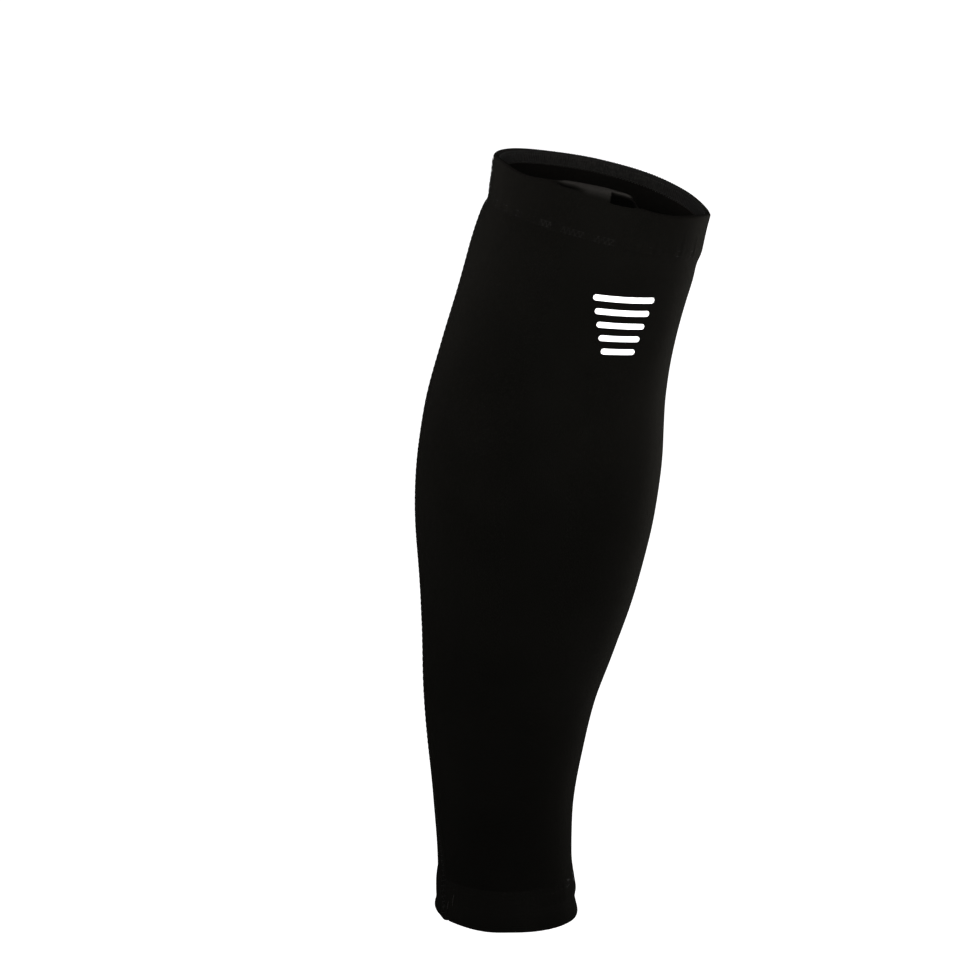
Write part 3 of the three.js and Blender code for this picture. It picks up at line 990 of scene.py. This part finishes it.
# %% Sizes of the band
BAND_DROP = 0.5 * MM
BAND_HEIGHT = 5.1 * MM
BAND_THICKNESS = 0.35 * MM
BAND_RIBS = 256
BAND_COLUMNS = BAND_RIBS * 4
RIB_RELIEF = 0.28
FOLD_CLEARANCE = 2.6 * MM
# How dark the band's painted shade is, and between which turns it lies.
BAND_PAINTED_SHADE, BAND_PAINTED_SHADE_FROM, BAND_PAINTED_SHADE_TO = 0.55, (0, 20), (100, 145)

BandPoint = namedtuple("BandPoint", "along inwards")
BAND_POINTS = table(
    BandPoint,
    (0, -0.2), (0, 0.45), (0.03, 0.85), (0.1, 1), (0.3, 0.96), (0.5, 1),
    (0.7, 0.96), (0.9, 1), (0.97, 0.85), (1, 0.45), (1, -0.2),
)


# %% Places inside the rim
def rim_inside(along, angle):
    """Inner face of the hem at a distance below the rim, which curves over to meet it."""
    short = np.clip(1 - along / WALL, 0, 1)
    curved = -WALL * (1 + np.sqrt(1 - short**2))
    is_plain = 1 - step_between(knee_fold(angle), 0.0, 0.5 * MM)
    return INSIDE + (curved - INSIDE) * is_plain


def below_rim(along, angle, out):
    """Point inside the knee rim that keeps its distance from the rim where the rim sways."""
    return on_sleeve(from_knee(along), angle, out, knee_sway(angle) * (1 - along / HEM_HEIGHT))


def band_top(angle):
    """The band hangs lower where the fold stands up above it."""
    return BAND_DROP + FOLD_CLEARANCE * step_between(knee_fold(angle), 0.0, 1.0 * MM)


# %% Inner band
angle = full_turn(BAND_COLUMNS)[None]
along, inwards = column(BAND_POINTS, "along"), column(BAND_POINTS, "inwards")
ribs = 1 + RIB_RELIEF * np.cos(BAND_RIBS * angle) * step_between(inwards, 0.4, 0.9)
below = band_top(angle) + along * BAND_HEIGHT
band_points = below_rim(below, angle, rim_inside(below, angle) - inwards * BAND_THICKNESS * ribs)
band_courses = along[:, 0] * BAND_HEIGHT / COURSE
band = ring_cloth("inner_band_rib", band_points, band_courses, BAND_RIBS, ribbing)
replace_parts(band, "inner_band")
# Painted shade on the band, on the side the knee leans to.
band_painted_shade = BAND_PAINTED_SHADE * span_share(front_turn(angle), BAND_PAINTED_SHADE_FROM, BAND_PAINTED_SHADE_TO)
carry(band, "band_painted_shade", band_painted_shade + 0 * along)

# %% Stitches of the band
RIM_STITCHES = 210
BAND_STITCHES = 190
FOOT_HALF = 0.6 * MM


def band_thread(along, angle, arch, is_closed):
    """A run of thread that stands off the hem's inner face by the arch."""
    here = below_rim(along, angle, rim_inside(along, angle) - arch)
    away = below_rim(along, angle, rim_inside(along, angle) - arch - MM) - here
    return here, unit(away), THREAD, is_closed


def band_row(stitches, share, high, fill):
    """Short stitches round the band, at a share of its height."""
    t = np.linspace(-fill / 2, fill / 2, STITCH_POINTS)
    angle = (np.arange(stitches)[:, None] + t) * 2 * np.pi / stitches
    along = band_top(angle) + share * BAND_HEIGHT
    arch = -BAND_THICKNESS + (high + BAND_THICKNESS) * stitch_arch(STITCH_POINTS, 0.0, 1.0)
    return band_thread(along, angle, arch, False)


def band_zigzag(stitches, high):
    """The thread over the band's lower edge."""
    t = np.arange(2 * stitches * ZIGZAG_POINTS) / ZIGZAG_POINTS
    angle = np.pi * t / stitches
    along = band_top(angle) + BAND_HEIGHT + FOOT_HALF * (2 * swing(t) - 1)
    arch = -ZIGZAG_SINK + (high + ZIGZAG_SINK) * dive(t)
    return band_thread(along[None], angle[None], arch[None], True)


band_runs = [band_row(RIM_STITCHES, 0.25, 0.5 * MM, 0.55), band_zigzag(BAND_STITCHES, 0.55 * MM)]
band_stitching = thread_piece("band_stitches", band_runs, pale_thread)

# %% Loops over the knee rim
LOOPS_BEYOND = 95
LOOP_THREAD = 0.12 * MM
LOOP_SLANT = 0.004
loops = np.arange(RIM_STITCHES) * 2 * np.pi / RIM_STITCHES
loops = loops[np.abs(front_turn(loops)) > LOOPS_BEYOND]
loop_lift = knee_sway(loops)[:, None]
over = np.radians(np.linspace(-20, 200, 10))[None]
radius = WALL + 0.1 * MM
loop_out, loop_up = -WALL + radius * np.cos(over), -WALL + radius * np.sin(over)
loop_angle = loops[:, None] + LOOP_SLANT * np.sin(over)
loop_rise = np.maximum(loop_up, 0) + loop_lift
here = on_sleeve(from_knee(np.maximum(-loop_up, 0)), loop_angle, loop_out, loop_rise)
centre = on_sleeve(from_knee(WALL), loop_angle, -WALL, loop_lift)
loop_piece = thread_piece("rim_loops", [(here, here - centre, LOOP_THREAD, False)])

# %% [markdown]
# ## The side seam
# The panel's edges butt together and a flat seam covers them, so that nothing rubs. Its strip stands
# a third of a millimetre proud, with a shallow valley where the edges meet. A thread crosses it from
# edge to edge, and goes on over both hems to the rims. Three slanted tack stitches hold its foot.

# %% Seam strip
SeamPoint = namedtuple("SeamPoint", "across out")
SEAM_POINTS = table(
    SeamPoint,
    (-1, -0.9), (-0.94, 0.1), (-0.82, 0.62), (-0.5, 0.95), (-0.2, 0.9), (0, 0.25),
    (0.2, 0.9), (0.5, 0.95), (0.82, 0.62), (0.94, 0.1), (1, -0.9),
)
SEAM_ROWS = 300
WALES_ACROSS = 0.5
down = np.linspace(PANEL_TOP, PANEL_BOTTOM, SEAM_ROWS)[:, None]
across = column(SEAM_POINTS, "across")[:, 0] * SEAM_WIDTH / 2
height = column(SEAM_POINTS, "out")[:, 0] * SEAM_RAISE
across, height = np.append(across, across[::-1]), np.append(height, -WALL - height[::-1])
seam_points = on_sleeve(down, walk(down, seam_angle(down), across[None]), height[None])
seam_quads, corner_rows, corner_columns = grid_quads(SEAM_ROWS, len(across), rows_close=False)
row_courses = (PANEL_BOTTOM - PANEL_TOP) * SLEEVE_HEIGHT / SEAM_ROWS / COURSE
seam_uv = np.stack([corner_columns * WALES_ACROSS, corner_rows * row_courses], axis=-1)
seam_caps = end_caps(0, SEAM_ROWS, len(across))
seam = make_piece("side_seam_strip", seam_points, seam_quads, seam_uv, knit, seam_caps)
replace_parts(seam, "side_seam")

# %% Threads of the seam
SEAM_STITCH = 2.5 * MM
CROSSING_HALF, CROSSING_HIGH, CROSSING_SINK = 2.05 * MM, 0.32 * MM, 0.1 * MM
EDGE_ROW, EDGE_HIGH, EDGE_FILL = 2.1 * MM, 0.22 * MM, 0.84
first, last = from_knee(1.6 * MM), from_ankle(1.8 * MM)
crossings = int((last - first) * SLEEVE_HEIGHT / SEAM_STITCH)
t = np.linspace(0, 2 * crossings, 2 * crossings * 6 + 1)
down = first + (last - first) * t / t[-1]
lift = -CROSSING_SINK + (CROSSING_HIGH + CROSSING_SINK) * dive(t)
sideways = walk(down, seam_angle(down), (2 * swing(t) - 1) * CROSSING_HALF)
here, away = on_cloth(down, sideways, lift)
runs = [(here[None], away[None], THREAD, False)]
rows = np.linspace(first, last, crossings)
for side in (-1, 1):
    stitch = np.linspace(-EDGE_FILL / 2, EDGE_FILL / 2, 6) * SEAM_STITCH / SLEEVE_HEIGHT
    short = rows[:, None] + stitch
    edge = walk(short, seam_angle(short), side * EDGE_ROW + 0 * short)
    runs.append((*on_cloth(short, edge, stitch_arch(6, 0.0, EDGE_HIGH) + 0 * short), THREAD, False))
seam_stitching = thread_piece("side_seam_stitches", runs)

# %% Tack stitches at the seam's foot
TACK_THREAD = 0.17 * MM
Tack = namedtuple("Tack", "angle low high")
TACKS = table(
    Tack,
    (207, 2.8 * MM, 6 * MM),
    (214, 5 * MM, 8.8 * MM),
    (221, 7.8 * MM, 13.4 * MM),
)
TACK_SLANT = 0.03
t = np.linspace(0, 1, 9)
along = np.array([tack.low + (tack.high - tack.low) * t for tack in TACKS])
angle = np.radians(column(TACKS, "angle")) + TACK_SLANT * t
tack_paths = on_cloth(from_ankle(along), angle, stitch_arch(9, -0.1 * MM, 0.18 * MM) + 0 * along)
tacks = thread_piece("seam_tacks", [(*tack_paths, TACK_THREAD, False)], pale_thread)

# %% [markdown]
# ## The printed mark
# Five bars are pressed on, each a little shorter than the one above. A bar is a round-ended film whose
# edge rounds down to the cloth, and it bends with the leg.

# %% Print bars
PRINT_BARS = 5
PRINT_WIDTH = 30 * MM
PRINT_TAPER = 3.4 * MM
PRINT_BAR_HEIGHT = 2.6 * MM
PRINT_PITCH = 6 * MM
PRINT_DROP = 52 * MM
PRINT_BEARING = math.radians(26 - 90)
PRINT_TURN = math.radians(6.5)

FilmPoint = namedtuple("FilmPoint", "share out")
FILM_POINTS = table(
    FilmPoint,
    (0.06, 0.02), (0.6, 0.02), (1, 0.02), (1, 0.07), (0.985, 0.11),
    (0.94, 0.14), (0.85, 0.15), (0.45, 0.15), (0.06, 0.15),
)


RUN_POINTS, BEND_POINTS = 28, 11


def print_bar(index):
    """A bar of the mark, the first one on top. Its outline is a run, a bend, a run and a bend."""
    radius = PRINT_BAR_HEIGHT / 2
    straight = (PRINT_WIDTH - index * PRINT_TAPER) / 2 - radius
    run = np.linspace(-straight, straight, RUN_POINTS)
    bend = np.radians(np.linspace(-90, 90, BEND_POINTS + 2))[1:-1]
    level, end = np.full(RUN_POINTS, np.pi / 2), np.full(BEND_POINTS, straight)
    spine = np.concatenate([run, end, run[::-1], -end])
    aim = np.concatenate([-level, bend, level, bend + np.pi])
    share, out = column(FILM_POINTS, "share"), column(FILM_POINTS, "out") * MM
    along = spine + radius * share * np.cos(aim)
    across = radius * share * np.sin(aim) + (index - (PRINT_BARS - 1) / 2) * PRINT_PITCH
    down = from_knee(PRINT_DROP + across * math.cos(PRINT_TURN) - along * math.sin(PRINT_TURN))
    sideways = along * math.cos(PRINT_TURN) + across * math.sin(PRINT_TURN)
    angle = walk(down, PRINT_BEARING, sideways)
    points = on_sleeve(down, angle, out)
    rows, columns = points.shape[:2]
    quads = grid_quads(rows, columns, rows_close=False)[0]
    wale, course = angle / (2 * np.pi) * WALES, down * SLEEVE_HEIGHT / COURSE
    uv = np.stack([wale, course], axis=-1).reshape(-1, 2)[quads]
    caps = end_caps(0, rows, columns)
    bar = make_piece(f"print_film_{index + 1}", points, quads, uv, film, caps)
    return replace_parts(bar, f"print_bar_{index + 1}")


bars = [print_bar(index) for index in range(PRINT_BARS)]

# %% [markdown]
# ## The cloth as it was cut
# The panel and the hems are cut flat, narrower than the leg by the stretch of the knit. A hem's cloth
# is twice as tall as the hem, because it is folded double. The seam, the band, the threads and the
# print lie on the cloth and go with it.

# %% Flat sizes
def declare_cloth(cloth, flat):
    print(f"{cloth.name} cut {flat[0] / MM:.0f} by {flat[1] / MM:.0f} mm")


declare_cloth(panel, panel_flat)
knee_girth, ankle_girth = (girth_at(float(at(HEM_HEIGHT / 2))) for at in (from_knee, from_ankle))
declare_cloth(knee_cloth, (knee_girth / STRETCH, 2 * HEM_HEIGHT))
declare_cloth(ankle_cloth, (ankle_girth / STRETCH, 2 * HEM_HEIGHT))

# %% [markdown]
# ## Studio
# The sleeve is held up over white paper that is lit so evenly that it washes out. Two soft lights in
# front are aimed at the knee, so the cloth gets darker down to the ankle. Three on the right stand
# lower than the knee, so they draw a pale edge down that side without shining into the mouth. A last,
# narrow one grazes the left edge from behind.

# %% Floor and room
scene = bpy.context.scene
FLOOR_DROP = 0.25
FLOOR_SIZE = 40.0
PAPER_GLOW = 0.78
ROOM_LIGHT = 0.35


def paper_surface(tree):
    return {
        "Base Color": (0.9, 0.9, 0.9, 1),
        "Roughness": 0.9,
        "Specular IOR Level": 0.1,
        "Emission Color": (1, 1, 1, 1),
        "Emission Strength": PAPER_GLOW,
    }


floor_z = float(on_sleeve(1.0, 0.0)[2]) - FLOOR_DROP
reach = FLOOR_SIZE / 2
corners = [(x * reach, y * reach, floor_z) for x, y in ((-1, -1), (1, -1), (1, 1), (-1, 1))]
paper_mesh = bpy.data.meshes.new("paper")
paper_mesh.from_pydata(corners, [], [(0, 1, 2, 3)])
paper_mesh.materials.append(finish_of("lit_paper", paper_surface))
paper = put("paper", paper_mesh)

world = bpy.data.worlds.new("studio")
world.use_nodes = True
background = world.node_tree.nodes["Background"].inputs
background["Color"].default_value = (1, 1, 1, 1)
background["Strength"].default_value = ROOM_LIGHT
scene.world = world
print(f"floor {FLOOR_DROP} m below the ankle rim")

# %% Soft lights
SoftLight = namedtuple("SoftLight", "name place aim width height spread power")
SOFT_LIGHTS = table(
    SoftLight,
    ("front", (-0.1, -0.95, 0.33), (0, 0, 0.15), 0.5, 0.3, 62, 2.4),
    ("brow", (-0.1, -0.95, 0.33), (0, 0, 0.26), 0.5, 0.3, 32, 0.9),
    ("right", (1, -0.1, -0.2), (0.03, 0, 0.08), 0.7, 0.4, 70, 1.3),
    ("right_back", (0.85, 0.55, -0.25), (0.04, 0, 0.12), 0.6, 0.4, 46, 3.3),
    ("rim", (0.75, 0.95, -0.28), (0.04, 0, 0.15), 0.5, 0.3, 36, 8.5),
    ("left_back", (-0.9, 0.35, 0.2), (-0.02, 0, 0.2), 0.4, 0.3, 26, 1),
)
for light in SOFT_LIGHTS:
    lamp = bpy.data.lights.new(light.name, "AREA")
    lamp.shape, lamp.size, lamp.size_y = "RECTANGLE", light.width, light.height
    lamp.energy, lamp.spread = light.power, math.radians(light.spread)
    holder = put(light.name, lamp)
    holder.location = light.place
    beam = Vector(light.aim) - Vector(light.place)
    holder.rotation_euler = beam.to_track_quat("-Z", "Y").to_euler()
print("lights:", ", ".join(light.name for light in SOFT_LIGHTS))

# %% Camera
LENS, SENSOR = 134.4, 36
CAMERA_PLACE = (-0.027, -1.565, 0.402)
LOOKS_DOWN = 14.73
camera_data = bpy.data.cameras.new("camera")
camera_data.lens, camera_data.sensor_width = LENS, SENSOR
camera_data.clip_end = 100
camera = put("camera", camera_data)
camera.location = CAMERA_PLACE
camera.rotation_euler = (math.radians(90 - LOOKS_DOWN), 0, 0)
scene.camera = camera
scene.view_settings.view_transform = "Standard"
print(f"camera lens {LENS} mm, {LOOKS_DOWN} degrees down")
